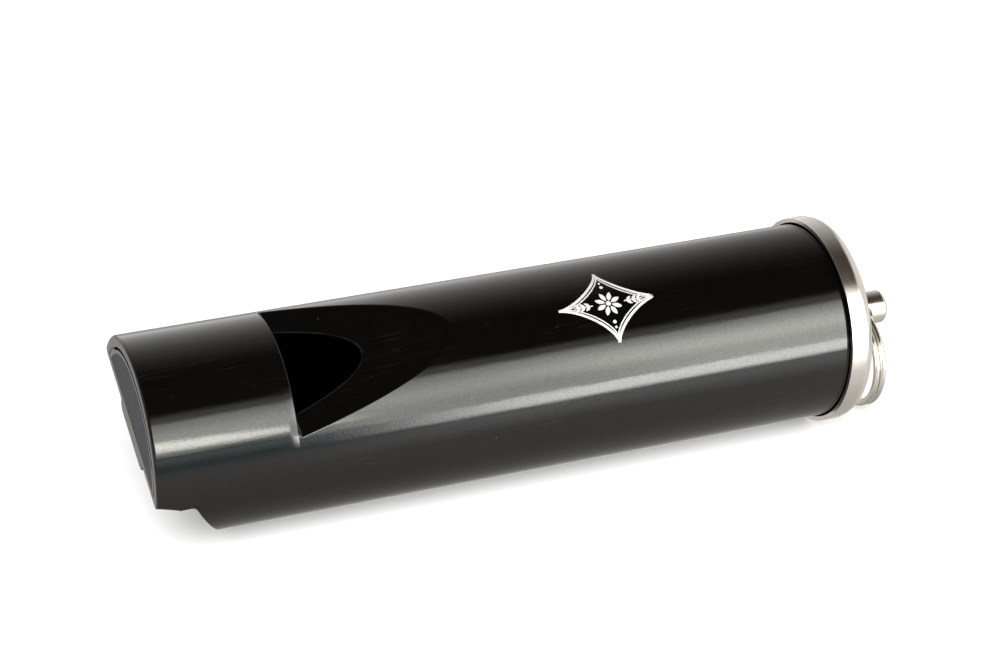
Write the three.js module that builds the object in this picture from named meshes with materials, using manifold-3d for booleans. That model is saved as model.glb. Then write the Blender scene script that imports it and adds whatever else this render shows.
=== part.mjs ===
// A plunger-tuned bird call: a black moulded barrel with a beak mouthpiece and a sound window,
// a plated end cap, and a rod that slides a felt-sealed piston in the bore.
// Millimetres, +Z up. The call lies on its side with the window rolled towards -Y.
// Inside the pieces x runs along the barrel's axis from the mouth end to the cap.
import * as THREE from 'three';
import { mergeVertices } from 'three/addons/utils/BufferGeometryUtils.js';
import Module from 'manifold-3d';

const wasm = await Module();
wasm.setup();

const radians = THREE.MathUtils.degToRad;

// Clearances
const SEAT_GAP = 0.3; // between faces that rest on each other
const PRESS_GAP = 0.15; // round a piece that is pressed into the bore
const RUNNING_GAP = 0.3; // round a piece that slides or turns

// How the call lies
const LIE_ANGLE = radians(30.5); // roll of the window from straight up

// Barrel, a tube with a slight moulding draft
const BARREL_LENGTH = 119.15;
const BARREL_RADIUS_MOUTH = 16.08;
const BARREL_RADIUS_TAIL = 16.3;
const BORE_RADIUS = 13.43;
const RIM_FILLET = 0.5;
const BORE_CHAMFER = 0.5;

// Sound window: a square edge towards the mouth and a flat ramp that rises to the barrel's skin
const WINDOW_EDGE = 22.2; // from the mouth end
const WINDOW_LENGTH = 27.2;
const RAMP_ANGLE = radians(10.8);

// Beak: the underside of the mouth end is cut away flat and raked back into the barrel. A straight
// wall closes it below the plug, with a ridge across its underside for the teeth.
const BEAK_TURN = radians(2.1); // roll back from the window
const BEAK_HEIGHT = 2.5; // flat underside above the axis
const BEAK_LENGTH = 5.9;
const BEAK_RAKE = radians(25);
const BEAK_FILLET = 1.2;
const BEAK_EDGE = 0.3; // round along the end of the straight wall
const BEAK_WALL = 1.7;
const BEAK_WALL_LENGTH = 7.6;
const RIDGE_WIDTH = 13.2;
const RIDGE_DEPTH = 2.6;
const RIDGE_START = 0.2;
const RIDGE_THICKNESS = 2.2;
const RIDGE_CORNER = 1.6;

// Fipple plug with its windway, in a wider stretch of the bore that ends in a shoulder
const PLUG_BORE = 14.15;
const PLUG_RECESS = 0.1; // face behind the barrel's rim
const WINDWAY_HEIGHT = 0.6;
const WINDWAY_HALF_ANGLE = radians(55);

// End cap, pressed from sheet
const CAP_RADIUS = 17.28;
const CAP_WALL = 0.55;
const CAP_SKIRT = 4.1;
const CAP_CORNER = 1.6;

// Rod guide in the tail of the bore, with a felt washer between it and the cap
const GUIDE_LENGTH = 9;
const FELT_RADIUS = 6;
const FELT_THICKNESS = 2.8;

// Plunger rod
const ROD_RADIUS = 2.8;
const ROD_REACH = 10.85; // beyond the cap when pushed in
const ROD_END_ROUND = 0.8;
const HOLE_RADIUS = 1.8;
const HOLE_SETBACK = 5; // from the rod's end to the cross-hole
const SPIGOT_RADIUS = 1.5;

// Piston: a felt ring held between two discs by a nut
const PULL_TRAVEL = 30;
const DISC_RADIUS = 12.6;
const DISC_THICKNESS = 2.5;
const SEAL_THICKNESS = 4;
const NUT_FLATS = 5.5;
const NUT_THICKNESS = 2.4;
const SPIGOT_PROUD = 0.8; // spigot beyond the nut

// Split ring
const RING_RADIUS = 8.75; // outside
const RING_WIRE = 1.1; // diameter
const RING_PITCH = 1.6; // between its two turns
const RING_STEP_ANGLE = radians(30); // stretch where the wire steps from one turn to the other
const RING_STEP_PLACE = radians(255); // from the cross-hole to that stretch
const RING_END_GAP = radians(6); // between each wire end and that stretch
const RING_LEAN = radians(9); // towards -Y from hanging straight down

// Facets
const FACETS = 64; // round the barrel and the pieces in it
const ROD_FACETS = 32;
const WIRE_SIDES = 10;
const RING_STEPS = 96;
const ARC_STEPS = 24;
const FILLET_STEPS = 5;

// Places along the axis
const CAP_END = BARREL_LENGTH + SEAT_GAP + CAP_WALL;
const SKIRT_EDGE = CAP_END - CAP_SKIRT;
const GUIDE_START = BARREL_LENGTH - GUIDE_LENGTH;
const ROD_END = CAP_END + ROD_REACH;
const HOLE_PLACE = ROD_END - HOLE_SETBACK;
const BACK_DISC = GUIDE_START - SEAT_GAP - PULL_TRAVEL - DISC_THICKNESS;
const SEAL = BACK_DISC - RUNNING_GAP - SEAL_THICKNESS;
const FRONT_DISC = SEAL - RUNNING_GAP - DISC_THICKNESS;
const NUT = FRONT_DISC - SEAT_GAP - NUT_THICKNESS;

// Materials, from the photograph
const BLACK_PLASTIC = { color: 0x121214, roughness: 0.3, metalness: 0 };
const NICKEL = { color: 0xd2ccc2, roughness: 0.18, metalness: 1 };
const BRASS = { color: 0xb5985a, roughness: 0.35, metalness: 1 };
const FELT = { color: 0x4a4d46, roughness: 0.95, metalness: 0 };

const X_AXIS = new THREE.Vector3(1, 0, 0);
const Y_AXIS = new THREE.Vector3(0, 1, 0);
const Z_AXIS = new THREE.Vector3(0, 0, 1);

// A round stretch of a turned profile: radius across, x along, angles from straight outwards towards +x.
function arc(radius, along, size, from, to) {
  const points = [];
  for (let i = 0; i <= FILLET_STEPS; i += 1) {
    const angle = from + ((to - from) * i) / FILLET_STEPS;
    points.push(new THREE.Vector2(radius + size * Math.cos(angle), along + size * Math.sin(angle)));
  }
  return points;
}

const at = (radius, along) => new THREE.Vector2(radius, along);

// Turns a profile about the barrel's axis, with the middle of one facet facing `flat`, measured from
// straight down. The profile runs up its outside.
function turned(profile, facets = FACETS, flat = 0) {
  const start = Math.PI / facets + flat;
  return new THREE.LatheGeometry(profile, facets, start).rotateZ(-Math.PI / 2);
}

// A ring between two radii and two places, as a closed profile.
function washer(inner, outer, from, to) {
  return [at(inner, from), at(outer, from), at(outer, to), at(inner, to), at(inner, from)];
}

// Extrudes an outline seen from the side (x along the barrel, z up) both ways from the middle plane.
function sideways(outline, width) {
  const options = { depth: width, bevelEnabled: false, curveSegments: ARC_STEPS };
  const basis = new THREE.Matrix4().makeBasis(X_AXIS, Z_AXIS, Y_AXIS.clone().negate());
  return new THREE.ExtrudeGeometry(outline, options).applyMatrix4(basis).translate(0, width / 2, 0);
}

// Extrudes a cross-section (y across, z up) along the barrel.
function lengthways(outline, from, to) {
  const options = { depth: to - from, bevelEnabled: false, curveSegments: ARC_STEPS };
  const basis = new THREE.Matrix4().makeBasis(Y_AXIS, Z_AXIS, X_AXIS);
  return new THREE.ExtrudeGeometry(outline, options).applyMatrix4(basis).translate(from, 0, 0);
}

// A regular outline with its corners on a circle.
function regular(radius, sides) {
  const corners = [];
  for (let i = 0; i < sides; i += 1) {
    const angle = (i * 2 * Math.PI) / sides;
    corners.push(new THREE.Vector2(radius * Math.cos(angle), radius * Math.sin(angle)));
  }
  return new THREE.Shape(corners);
}

// A closed geometry as a solid that can be joined and cut.
function solid(geometry) {
  const bare = geometry.clone();
  bare.deleteAttribute('normal');
  bare.deleteAttribute('uv');
  const merged = mergeVertices(bare);
  const corners = merged.index.array;
  const triVerts = [];
  for (let i = 0; i < corners.length; i += 3) {
    const [a, b, c] = corners.slice(i, i + 3);
    if (a !== b && b !== c && c !== a) triVerts.push(a, b, c);
  }
  return new wasm.Manifold(new wasm.Mesh({
    numProp: 3,
    vertProperties: new Float32Array(merged.attributes.position.array),
    triVerts: new Uint32Array(triVerts),
  }));
}

function piece(name, shape, finish) {
  const { vertProperties, triVerts } = shape.getMesh();
  const geometry = new THREE.BufferGeometry();
  geometry.setAttribute('position', new THREE.BufferAttribute(vertProperties, 3));
  geometry.setIndex(new THREE.BufferAttribute(triVerts, 1));
  geometry.computeVertexNormals();
  const mesh = new THREE.Mesh(geometry, new THREE.MeshStandardMaterial(finish));
  mesh.name = name;
  return mesh;
}

// Radius of the barrel's drafted skin
function skinRadius(x) {
  return THREE.MathUtils.lerp(BARREL_RADIUS_MOUTH, BARREL_RADIUS_TAIL, x / SKIRT_EDGE);
}

// Everything below the beak's flat and in front of its raked wall.
function beakCut() {
  const clear = 2 * BARREL_RADIUS_TAIL;
  const bend = Math.PI / 2 - BEAK_RAKE;
  const tangent = BEAK_FILLET * Math.tan(bend / 2);
  const drop = BEAK_HEIGHT + clear;
  const outline = new THREE.Shape();
  outline.moveTo(-clear, BEAK_HEIGHT + BEAK_EDGE);
  outline.lineTo(-clear, -clear);
  outline.lineTo(BEAK_LENGTH + drop * Math.tan(BEAK_RAKE), -clear);
  outline.absarc(BEAK_LENGTH - tangent, BEAK_HEIGHT - BEAK_FILLET, BEAK_FILLET, BEAK_RAKE, Math.PI / 2, false);
  outline.absarc(BEAK_EDGE, BEAK_HEIGHT + BEAK_EDGE, BEAK_EDGE, 1.5 * Math.PI, Math.PI, true);
  outline.closePath();
  return solid(sideways(outline, 2 * clear).rotateX(-BEAK_TURN));
}

// A box in the beak's frame, between two places and two heights, from wall to wall of the barrel.
function beakBlock(from, to, low, high) {
  const half = (PLUG_BORE + BARREL_RADIUS_MOUTH) / 2;
  const section = new THREE.Shape([at(half, low), at(half, high), at(-half, high), at(-half, low)]);
  return solid(lengthways(section, from, to).rotateX(-BEAK_TURN));
}

// The ridge under the beak, with its lower corners rounded.
function teethRidge() {
  const half = RIDGE_WIDTH / 2;
  const foot = BEAK_HEIGHT - RIDGE_DEPTH + RIDGE_CORNER;
  const section = new THREE.Shape();
  section.moveTo(half, BEAK_HEIGHT + BEAK_WALL / 2);
  section.lineTo(-half, BEAK_HEIGHT + BEAK_WALL / 2);
  section.absarc(RIDGE_CORNER - half, foot, RIDGE_CORNER, Math.PI, 1.5 * Math.PI, false);
  section.absarc(half - RIDGE_CORNER, foot, RIDGE_CORNER, 1.5 * Math.PI, 2 * Math.PI, false);
  section.closePath();
  return solid(lengthways(section, RIDGE_START, RIDGE_START + RIDGE_THICKNESS).rotateX(-BEAK_TURN));
}

// The wedge over the window's ramp.
function windowCut() {
  const tip = WINDOW_EDGE + WINDOW_LENGTH;
  const slope = Math.tan(RAMP_ANGLE);
  const clear = 2 * BARREL_RADIUS_TAIL;
  const outline = new THREE.Shape();
  outline.moveTo(WINDOW_EDGE, skinRadius(tip) - WINDOW_LENGTH * slope);
  outline.lineTo(tip + WINDOW_LENGTH, skinRadius(tip) + WINDOW_LENGTH * slope);
  outline.lineTo(tip + WINDOW_LENGTH, clear);
  outline.lineTo(WINDOW_EDGE, clear);
  outline.closePath();
  return solid(sideways(outline, 2 * clear));
}

function barrel() {
  const tail = skinRadius(BARREL_LENGTH);
  const shoulder = WINDOW_EDGE + PRESS_GAP;
  const profile = [
    at(PLUG_BORE, BORE_CHAMFER),
    at(PLUG_BORE + BORE_CHAMFER, 0),
    ...arc(skinRadius(RIM_FILLET) - RIM_FILLET, RIM_FILLET, RIM_FILLET, -Math.PI / 2, 0),
    at(tail, BARREL_LENGTH - BORE_CHAMFER),
    at(tail - BORE_CHAMFER, BARREL_LENGTH),
    at(BORE_RADIUS, BARREL_LENGTH),
    at(BORE_RADIUS, shoulder),
    at(PLUG_BORE, shoulder),
    at(PLUG_BORE, BORE_CHAMFER),
  ];
  const tube = solid(turned(profile, FACETS, -LIE_ANGLE)).subtract(windowCut());
  const wall = beakBlock(0, BEAK_WALL_LENGTH, BEAK_HEIGHT - BEAK_WALL, BEAK_HEIGHT + BEAK_WALL);
  const beaked = tube.add(wall).subtract(beakCut());
  return piece('barrel', beaked.add(teethRidge()), BLACK_PLASTIC);
}

// The windway is the space between the barrel and the plug's lowered crown.
function fipplePlug() {
  const up = Math.PI / 2;
  const floor = PLUG_BORE - WINDWAY_HEIGHT;
  const land = PLUG_BORE - PRESS_GAP;
  const section = new THREE.Shape();
  section.absarc(0, 0, floor, up - WINDWAY_HALF_ANGLE, up + WINDWAY_HALF_ANGLE, false);
  section.absarc(0, 0, land, up + WINDWAY_HALF_ANGLE, up - WINDWAY_HALF_ANGLE + 2 * Math.PI, false);
  section.closePath();
  const body = solid(lengthways(section, PLUG_RECESS, WINDOW_EDGE).rotateX(-BEAK_TURN));
  const seat = beakBlock(
    -BEAK_WALL,
    BEAK_WALL_LENGTH + SEAT_GAP,
    -PLUG_BORE - BEAK_WALL,
    BEAK_HEIGHT + BEAK_WALL + PRESS_GAP,
  );
  return piece('fipple_plug', body.subtract(seat).subtract(beakCut()), BLACK_PLASTIC);
}

function endCap() {
  const mouth = ROD_RADIUS + RUNNING_GAP;
  const inside = CAP_RADIUS - CAP_WALL;
  const centre = CAP_RADIUS - CAP_CORNER;
  const bend = CAP_END - CAP_CORNER;
  const profile = [
    at(inside, SKIRT_EDGE),
    at(CAP_RADIUS, SKIRT_EDGE),
    ...arc(centre, bend, CAP_CORNER, 0, Math.PI / 2),
    at(mouth, CAP_END),
    at(mouth, CAP_END - CAP_WALL),
    ...arc(centre, bend, CAP_CORNER - CAP_WALL, Math.PI / 2, 0),
    at(inside, SKIRT_EDGE),
  ];
  return piece('end_cap', solid(turned(profile, FACETS, -LIE_ANGLE)), NICKEL);
}

function rodGuide() {
  const outer = BORE_RADIUS - PRESS_GAP;
  const inner = ROD_RADIUS + RUNNING_GAP;
  const pocket = FELT_RADIUS + SEAT_GAP;
  const ledge = BARREL_LENGTH - FELT_THICKNESS - SEAT_GAP;
  const profile = [
    at(inner, GUIDE_START),
    at(outer, GUIDE_START),
    at(outer, BARREL_LENGTH),
    at(pocket, BARREL_LENGTH),
    at(pocket, ledge),
    at(inner, ledge),
    at(inner, GUIDE_START),
  ];
  return piece('rod_guide', solid(turned(profile, FACETS, -LIE_ANGLE)), BLACK_PLASTIC);
}

function guideFelt() {
  const inner = ROD_RADIUS + RUNNING_GAP;
  const profile = washer(inner, FELT_RADIUS, BARREL_LENGTH - FELT_THICKNESS, BARREL_LENGTH);
  return piece('guide_felt', solid(turned(profile, FACETS, -LIE_ANGLE)), FELT);
}

function pistonDisc(name, from) {
  const profile = washer(SPIGOT_RADIUS + PRESS_GAP, DISC_RADIUS, from, from + DISC_THICKNESS);
  return piece(name, solid(turned(profile)), BLACK_PLASTIC);
}

function pistonSeal() {
  const inner = SPIGOT_RADIUS + RUNNING_GAP;
  const profile = washer(inner, BORE_RADIUS - RUNNING_GAP, SEAL, SEAL + SEAL_THICKNESS);
  return piece('piston_seal', solid(turned(profile)), FELT);
}

function pistonNut() {
  const section = regular(NUT_FLATS / 2 / Math.cos(Math.PI / 6), 6);
  const hole = new THREE.Path().absarc(0, 0, SPIGOT_RADIUS + PRESS_GAP, 0, 2 * Math.PI, true);
  section.holes.push(hole);
  return piece('piston_nut', solid(lengthways(section, NUT, NUT + NUT_THICKNESS)), BRASS);
}

function plungerRod() {
  const shoulder = BACK_DISC + DISC_THICKNESS + SEAT_GAP;
  const start = NUT - SPIGOT_PROUD;
  const profile = [
    at(0, start),
    at(SPIGOT_RADIUS, start),
    at(SPIGOT_RADIUS, shoulder),
    at(ROD_RADIUS, shoulder),
    ...arc(ROD_RADIUS - ROD_END_ROUND, ROD_END - ROD_END_ROUND, ROD_END_ROUND, 0, Math.PI / 2),
    at(0, ROD_END),
  ];
  const hole = new THREE.CylinderGeometry(HOLE_RADIUS, HOLE_RADIUS, 4 * ROD_RADIUS, ROD_FACETS);
  const bar = solid(turned(profile, ROD_FACETS));
  return piece('plunger_rod', bar.subtract(solid(hole.translate(HOLE_PLACE, 0, 0))), NICKEL);
}

// The wire of the split ring: nearly two flat turns side by side, hanging from the cross-hole. The
// wire is centred in the hole, so half of its bow inside the rod lies above the hole's axis.
class RingWire extends THREE.Curve {
  constructor() {
    super();
    this.radius = RING_RADIUS - RING_WIRE / 2;
    const bow = this.radius - Math.sqrt(this.radius ** 2 - ROD_RADIUS ** 2);
    this.centre = bow / 2 - this.radius;
    this.sweep = 4 * Math.PI - RING_STEP_ANGLE - 2 * RING_END_GAP;
  }

  getPoint(t, target = new THREE.Vector3()) {
    const turn = RING_STEP_ANGLE / 2 + RING_END_GAP + t * this.sweep;
    const step = THREE.MathUtils.clamp((turn - 2 * Math.PI) / RING_STEP_ANGLE + 0.5, 0, 1);
    const side = (THREE.MathUtils.smoothstep(step, 0, 1) - 0.5) * RING_PITCH;
    const angle = RING_STEP_PLACE + turn;
    const y = -this.radius * Math.sin(angle);
    const z = this.centre + this.radius * Math.cos(angle);
    return target.set(HOLE_PLACE + side, y, z);
  }
}

// Least distance between stretches of the wire that are at least a quarter turn apart along it.
function leastGap(path) {
  const points = path.getPoints(4 * RING_STEPS);
  const apart = Math.round(points.length / 8);
  let least = Infinity;
  for (let i = 0; i < points.length; i += 1) {
    for (let j = i + apart; j < points.length; j += 1) {
      least = Math.min(least, points[i].distanceTo(points[j]));
    }
  }
  return least - RING_WIRE;
}

function splitRing() {
  const path = new RingWire();
  console.log(`split_ring: least gap between its turns ${leastGap(path).toFixed(3)} mm`);
  const section = regular(RING_WIRE / 2, WIRE_SIDES);
  const options = { steps: RING_STEPS, bevelEnabled: false, extrudePath: path };
  const ring = piece('split_ring', solid(new THREE.ExtrudeGeometry(section, options)), NICKEL);
  ring.rotation.x = -RING_LEAN;
  return ring;
}

// The fixed pieces roll together about the barrel's axis; the plunger lies level.
const fixed = new THREE.Group();
fixed.rotation.x = LIE_ANGLE;
fixed.add(barrel(), fipplePlug(), endCap(), rodGuide(), guideFelt());

const plunger = new THREE.Group();
plunger.add(
  pistonNut(),
  pistonDisc('piston_front', FRONT_DISC),
  pistonSeal(),
  pistonDisc('piston_back', BACK_DISC),
  plungerRod(),
  splitRing(),
);

// The origin is under the middle of the call, on the surface that the cap's lowest facet rests on.
const call = new THREE.Group();
call.add(fixed, plunger);
call.position.set(-ROD_END / 2, 0, CAP_RADIUS * Math.cos(Math.PI / FACETS));

const part = new THREE.Group();
part.add(call);
export default part;
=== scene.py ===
import math

import bmesh
import bpy
from mathutils import Matrix, Vector, noise


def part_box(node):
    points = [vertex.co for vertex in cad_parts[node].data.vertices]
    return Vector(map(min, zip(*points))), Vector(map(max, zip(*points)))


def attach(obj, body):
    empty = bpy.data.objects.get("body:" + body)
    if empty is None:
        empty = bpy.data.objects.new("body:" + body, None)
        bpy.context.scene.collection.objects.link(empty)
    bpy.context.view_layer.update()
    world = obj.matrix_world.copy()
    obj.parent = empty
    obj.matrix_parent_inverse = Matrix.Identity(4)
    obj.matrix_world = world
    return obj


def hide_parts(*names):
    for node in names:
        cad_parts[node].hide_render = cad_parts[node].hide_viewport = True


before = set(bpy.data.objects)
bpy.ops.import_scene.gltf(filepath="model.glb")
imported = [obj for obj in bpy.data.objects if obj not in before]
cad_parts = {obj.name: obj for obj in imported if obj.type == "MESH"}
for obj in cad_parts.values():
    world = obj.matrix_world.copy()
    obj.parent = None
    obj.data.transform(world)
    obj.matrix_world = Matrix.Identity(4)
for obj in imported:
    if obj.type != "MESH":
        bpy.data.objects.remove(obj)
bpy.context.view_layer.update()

MM = 0.001
EPS = 1e-6

# Sizes in millimetres. The main ones are the solids' own; the fits, the rounded edges and the
# cap's hem are finer here. Inside a piece x runs along the barrel's axis from the mouth end,
# and z points to the window.
SEAT_GAP = 0.3
PRESS_GAP = 0.15
RUNNING_GAP = 0.3
SMALL_ROUND = 0.2
FINE_ROUND = 0.15
LIE_ANGLE = math.radians(30.5)

BARREL_LENGTH = 119.15
BARREL_RADIUS_MOUTH = 16.08
BARREL_RADIUS_TAIL = 16.3
BORE_RADIUS = 13.43
RIM_FILLET = 0.5
TAIL_ROUND = 0.5
BORE_ROUND = 0.35

WINDOW_EDGE = 22.2
WINDOW_LENGTH = 27.2
RAMP_ANGLE = math.radians(10.8)
WINDOW_FILLET = 0.6
EDGE_ROUND = 0.18

# Beside the window's square edge the skin sinks; angles are counted from the window's middle
SINK_WIDTH = 1.4
SINK_DEPTH = 0.06
SINK_START = math.radians(54)
SINK_FULL = math.radians(44)

BEAK_TURN = math.radians(2.1)
BEAK_HEIGHT = 2.5
BEAK_LENGTH = 5.9
BEAK_RAKE = math.radians(25)
BEAK_FILLET = 1.2
BEAK_EDGE = 0.3
BEAK_CORNER = 1.6
BEAK_CORNER_LENGTH = 3.6
BEAK_CORNER_ROWS = 12
BEAK_CORNER_START = 1.02
BEAK_CORNER_FALL = 0.8
BEAK_WALL = 1.7
BEAK_WALL_LENGTH = 7.6
RIDGE_WIDTH = 13.2
RIDGE_DEPTH = 2.6
RIDGE_START = 0.2
RIDGE_THICKNESS = 2.2
RIDGE_CORNER = 1.6

PLUG_BORE = 14.15
PLUG_RECESS = 0.02
PLUG_LAND = 13.2
PLUG_GAP = 0.04
PLUG_EDGE = 0.06
WINDWAY_HEIGHT = 0.3
WINDWAY_HALF_ANGLE = math.radians(55)

CAP_RADIUS = 17.28
CAP_WALL = 0.55
CAP_SKIRT = 4.1
CAP_CORNER = 1.6
CAP_CROWN = 2.0
CAP_HEM = 0.07
CAP_LIP = 0.2
CAP_CURL = 0.2

GUIDE_LENGTH = 9
GUIDE_ENTRY_ROUND = 0.4
GUIDE_EDGE_ROUND = 0.6

FELT_RADIUS = 6
FELT_THICKNESS = 2.8
FELT_CORNER = 0.7
FELT_INNER_CORNER = 0.25
FELT_SINK = 0.05
FELT_LUMPS = 0.05
FELT_LUMPS_PER_MM = 1.3
FELT_FUZZ = 0.03
FELT_FUZZ_PER_MM = 4

ROD_RADIUS = 2.8
ROD_REACH = 10.85
ROD_END_ROUND = 0.8
HOLE_RADIUS = 1.8
HOLE_SETBACK = 5
SPIGOT_RADIUS = 1.5
SPIGOT_END_ROUND = 0.3
SPIGOT_ROOT_ROUND = 0.1

PULL_TRAVEL = 30
DISC_RADIUS = 12.6
DISC_THICKNESS = 2.5
DISC_ROUND = 0.5
SEAL_THICKNESS = 4
NUT_FLATS = 5.5
NUT_THICKNESS = 2.4
NUT_CHAMFER = 0.35
NUT_EDGE = 0.06
SPIGOT_PROUD = 0.8

RING_RADIUS = 8.75
RING_WIRE = 1.1
RING_PITCH = 1.18
RING_STEP_ANGLE = math.radians(30)
RING_STEP_PLACE = math.radians(255)
RING_END_GAP = math.radians(6)
RING_LEAN = math.radians(9)
RING_STEPS = 400
RING_SIDES = 20
RING_END_TAPER = (0.8, 0.95, 1.0)

# Places along the axis
CAP_END = BARREL_LENGTH + SEAT_GAP + CAP_WALL
SKIRT_EDGE = CAP_END - CAP_SKIRT
GUIDE_START = BARREL_LENGTH - GUIDE_LENGTH
ROD_END = CAP_END + ROD_REACH
HOLE_PLACE = ROD_END - HOLE_SETBACK
BACK_DISC = GUIDE_START - SEAT_GAP - PULL_TRAVEL - DISC_THICKNESS
SEAL = BACK_DISC - RUNNING_GAP - SEAL_THICKNESS
FRONT_DISC = SEAL - RUNNING_GAP - DISC_THICKNESS
NUT = FRONT_DISC - SEAT_GAP - NUT_THICKNESS
RAMP_TIP = WINDOW_EDGE + WINDOW_LENGTH
RAMP_SLOPE = math.tan(RAMP_ANGLE)
CLEAR = 2 * BARREL_RADIUS_TAIL

# Rings that keep the faces of the barrel's skin short. None of them crosses the ramp's edge.
SKIN_RINGS = (
    2, 5, 8, 11, 14, 17, 20, WINDOW_EDGE - 0.6, RAMP_TIP + 1, 60, 80, 100,
)

# Where the solids are
MOUTH_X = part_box("barrel")[0].x
AXIS_Z = sum(corner.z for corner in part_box("end_cap")) / 2
ON_AXIS = Matrix.Translation((MOUTH_X, 0, AXIS_Z))
PLUNGER_FRAME = ON_AXIS @ Matrix.Scale(MM, 4)
FIXED_FRAME = ON_AXIS @ Matrix.Rotation(LIE_ANGLE, 4, "X") @ Matrix.Scale(MM, 4)
RING_FRAME = ON_AXIS @ Matrix.Rotation(-RING_LEAN, 4, "X") @ Matrix.Scale(MM, 4)

BARREL_SEGMENTS = 288
SMALL_SEGMENTS = 128
FILLET_STEPS = 12
CROWN_STEPS = 64
CIRCLE_STEPS = 96

# Edges that turn by more than these are rounded: cuts in the barrel, other pieces, the nut
BARREL_CREASE = math.radians(9)
CREASE = math.radians(25)
NUT_CREASE = math.radians(20)


# Meshes

def fillet(before, corner, after, radius):
    """The points of a round corner of an outline."""
    back = (before - corner).normalized()
    on = (after - corner).normalized()
    half = back.angle(on) / 2
    middle = corner + (back + on).normalized() * radius / math.sin(half)
    start = corner + back * radius / math.tan(half) - middle
    end = corner + on * radius / math.tan(half) - middle
    turn = start.angle(end)
    points = []
    for step in range(FILLET_STEPS + 1):
        share = step / FILLET_STEPS
        a = math.sin((1 - share) * turn) / math.sin(turn)
        b = math.sin(share * turn) / math.sin(turn)
        points.append(middle + start * a + end * b)
    return points


def outline(corners):
    """A closed outline from corners (across, along, fillet radius)."""
    spots = [Vector(corner[:2]) for corner in corners]
    points = []
    for i, corner in enumerate(corners):
        if corner[2]:
            after = spots[(i + 1) % len(spots)]
            points += fillet(spots[i - 1], spots[i], after, corner[2])
        else:
            points.append(spots[i])
    return points


def arc(radius, start, end, steps):
    """Points of a circle about the origin."""
    turns = [start + (end - start) * i / steps for i in range(steps + 1)]
    return [Vector((radius * math.cos(t), radius * math.sin(t))) for t in turns]


def mesh_from(build):
    """A mesh with outward faces from a bmesh."""
    bmesh.ops.recalc_face_normals(build, faces=build.faces)
    mesh = bpy.data.meshes.new("work")
    build.to_mesh(mesh)
    build.free()
    return mesh


def turned(profile, segments=SMALL_SEGMENTS):
    """Turns a closed outline of (radius, place) about the x axis."""
    build = bmesh.new()
    rings = []
    for radius, place in profile:
        count = 1 if radius < EPS else segments
        turns = [2 * math.pi * i / segments for i in range(count)]
        rings.append([
            build.verts.new((place, radius * math.sin(t), radius * math.cos(t)))
            for t in turns
        ])
    for first, second in zip(rings, rings[1:] + rings[:1]):
        if len(first) == len(second) == 1:
            continue
        for i in range(segments):
            j = (i + 1) % segments
            corners = [
                first[i % len(first)],
                first[j % len(first)],
                second[j % len(second)],
                second[i % len(second)],
            ]
            build.faces.new(list(dict.fromkeys(corners)))
    return mesh_from(build)


def prism(points, place, start, end):
    """Extrudes an outline; place(u, v, depth) gives each corner."""
    build = bmesh.new()
    near = [build.verts.new(place(u, v, start)) for u, v in points]
    far = [build.verts.new(place(u, v, end)) for u, v in points]
    build.faces.new(near)
    build.faces.new(far)
    for i in range(len(points)):
        build.faces.new((near[i - 1], near[i], far[i], far[i - 1]))
    return mesh_from(build)


def lofted(build, rings):
    """Closes rings of equal length to a solid."""
    for first, second in zip(rings, rings[1:]):
        for k in range(len(first)):
            build.faces.new((first[k - 1], first[k], second[k], second[k - 1]))
    build.faces.new(rings[0])
    build.faces.new(rings[-1])
    return mesh_from(build)


def sideways(u, v, depth):
    return (u, depth, v)


def lengthways(u, v, depth):
    return (depth, u, v)


def combined(body, tool, operation):
    """Joins or cuts two meshes. Faces left by the tool get material index 1."""
    tool.polygons.foreach_set("material_index", [1] * len(tool.polygons))
    objects = []
    for mesh in (body, tool):
        while len(mesh.materials) < 2:
            mesh.materials.append(None)
        made = bpy.data.objects.new("work", mesh)
        bpy.context.collection.objects.link(made)
        objects.append(made)
    boolean = objects[0].modifiers.new("cut", "BOOLEAN")
    boolean.operation = operation
    boolean.solver = "EXACT"
    boolean.object = objects[1]
    depsgraph = bpy.context.evaluated_depsgraph_get()
    result = bpy.data.meshes.new_from_object(objects[0].evaluated_get(depsgraph))
    for made in objects:
        mesh = made.data
        bpy.data.objects.remove(made)
        bpy.data.meshes.remove(mesh)
    return result


def no_rule(point):
    return None


def softened(mesh, size, least_angle, seams_only=True, segments=3, stays_sharp=no_rule):
    """Rounds the edges that a cut has left, apart from those where stays_sharp(point) holds."""
    weld = size / 8
    build = bmesh.new()
    build.from_mesh(mesh)
    bmesh.ops.remove_doubles(build, verts=build.verts, dist=weld)
    bmesh.ops.dissolve_degenerate(build, edges=build.edges, dist=weld)
    edges = []
    for edge in build.edges:
        if len(edge.link_faces) != 2 or edge.calc_face_angle() < least_angle:
            continue
        kinds = [face.material_index for face in edge.link_faces]
        if seams_only and kinds == [0, 0]:
            continue
        if any(stays_sharp(vertex.co) for vertex in edge.verts):
            continue
        edges.append(edge)
    bmesh.ops.bevel(
        build, geom=edges, offset=size, offset_type="OFFSET", affect="EDGES",
        segments=segments, profile=0.5, clamp_overlap=False,
    )
    for face in build.faces:
        face.material_index = 0
    return mesh_from(build)


def shaded(mesh, exact=no_rule):
    """Smooth shading that follows the large faces, or exact(point) where that gives a normal."""
    sums = [Vector() for _ in mesh.vertices]
    for face in mesh.polygons:
        for vertex in face.vertices:
            sums[vertex] += face.normal * face.area
    normals = []
    for vertex, total in zip(mesh.vertices, sums):
        normals.append((exact(vertex.co) or total).normalized())
    mesh.shade_smooth()
    mesh.normals_split_custom_set_from_vertices(normals)
    return mesh


def piece(name, mesh, place, material, body, node=None):
    """Puts a mesh made in millimetres into the scene, on its body."""
    mesh.transform(place)
    mesh.name = name
    mesh.materials.clear()
    mesh.materials.append(material)
    made = bpy.data.objects.new(name, mesh)
    bpy.context.collection.objects.link(made)
    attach(made, body)
    if node:
        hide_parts(node)


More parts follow.
